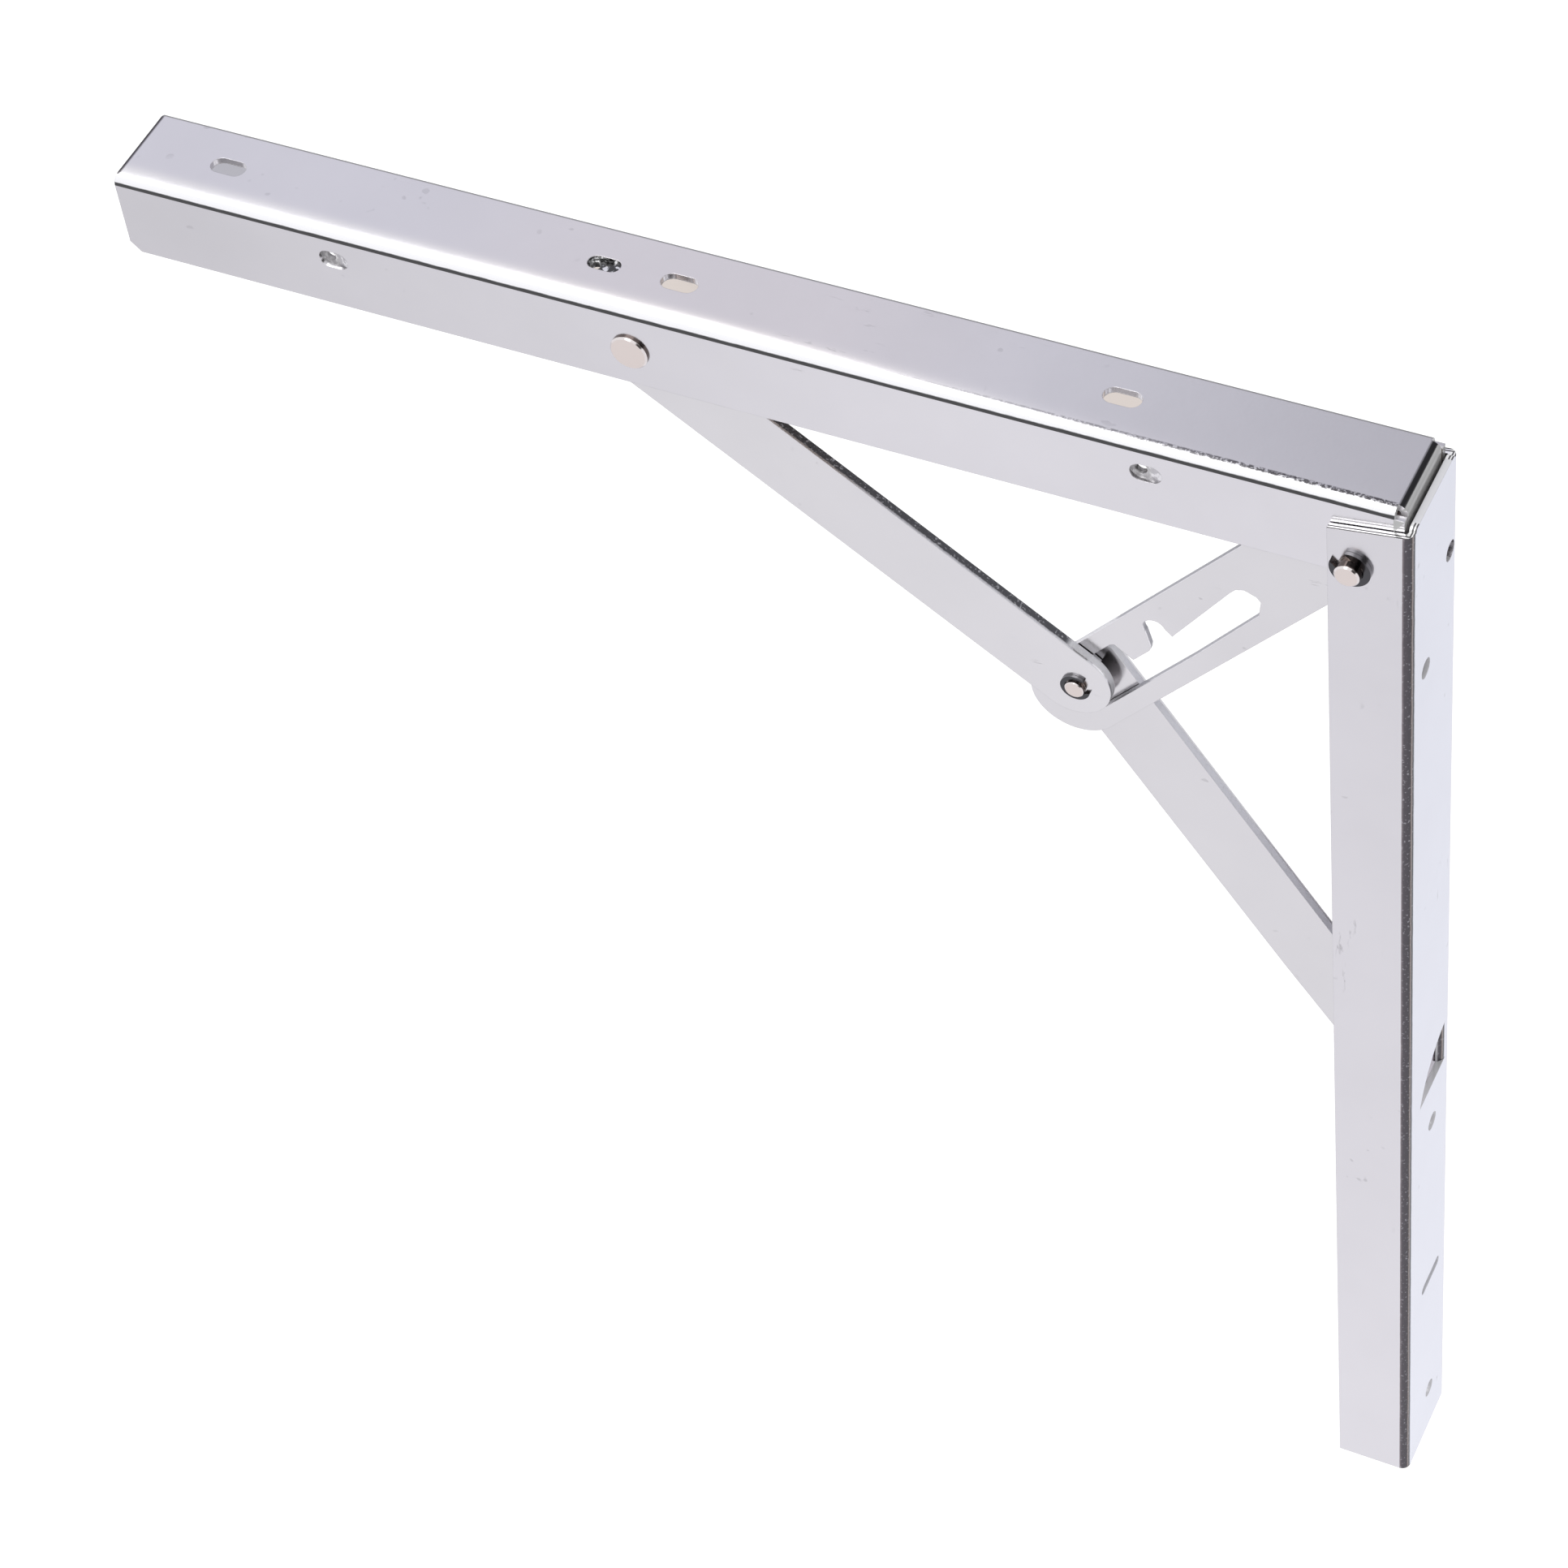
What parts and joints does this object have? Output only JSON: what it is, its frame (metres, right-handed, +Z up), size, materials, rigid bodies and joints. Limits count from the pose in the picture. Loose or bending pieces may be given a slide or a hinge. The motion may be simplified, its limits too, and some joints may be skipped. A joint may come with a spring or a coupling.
{
  "type": "folding shelf bracket",
  "caption": "Folding shelf bracket: a channel-shaped arm hinged to a wall channel and braced by jointed struts whose elbow pin locks in a slotted plate.",
  "frame": {"origin": "on the wall face, level with the main pivot and on the mid-plane of both channels", "axes": "+X out of the wall face towards the wall, the open arm reaches towards -X, +Z up, the pictured side is -Y"},
  "size_m": [0.3897, 0.0402, 0.4478],
  "materials": {
    "zinc_sheet": "satin zinc plating",
    "zinc_plate": "satin zinc plating",
    "pin_steel": "bright zinc plating",
    "ring_steel": "dark spring steel"
  },
  "bodies": {
    "wall": {"wall_channel": "zinc_sheet", "main_pivot_pin": "pin_steel", "main_pin_ring": "ring_steel", "front_spacer": "pin_steel", "back_spacer": "pin_steel", "ear_pin": "pin_steel"},
    "arm": {"shelf_arm": "zinc_sheet", "arm_rivet": "pin_steel"},
    "lock": {"lock_plate": "zinc_plate"},
    "elbow": {"elbow_pin": "pin_steel", "elbow_ring": "ring_steel"},
    "upper": {"upper_strut": "zinc_plate", "upper_strut_rivet": "pin_steel"},
    "lower": {"lower_strut": "zinc_plate", "lower_strut_rivet": "pin_steel"}
  },
  "joints": [
    {"name": "arm_fold", "type": "hinge", "parent": "wall", "child": "arm", "pos_m": [-0.0167, 0, 0], "axis": [0, -1, 0], "range_deg": [0, 88.3]},
    {"name": "lock_swing", "type": "hinge", "parent": "wall", "child": "lock", "pos_m": [-0.0167, 0, 0], "axis": [0, -1, 0], "range_deg": [0, 39.6]},
    {"name": "elbow_run", "type": "hinge", "parent": "lock", "child": "elbow", "pos_m": [-0.12463, 0, -0.02303], "axis": [0, -1, 0], "range_deg": [0, 44.6]},
    {"name": "upper_turn", "type": "hinge", "parent": "elbow", "child": "upper", "pos_m": [-0.1014, 0, -0.0861], "axis": [0, -1, 0], "range_deg": [0, 39.4]},
    {"name": "lower_turn", "type": "hinge", "parent": "elbow", "child": "lower", "pos_m": [-0.1014, 0, -0.0861], "axis": [0, -1, 0], "range_deg": [-119.3, 0]}
  ],
  "couplings": [
    {"joint": "lock_swing", "follows": "arm_fold", "ratio": 0.448},
    {"joint": "elbow_run", "follows": "arm_fold", "ratio": 0.5041},
    {"joint": "upper_turn", "follows": "arm_fold", "ratio": 0.4459},
    {"joint": "lower_turn", "follows": "arm_fold", "ratio": -1.3501}
  ]
}
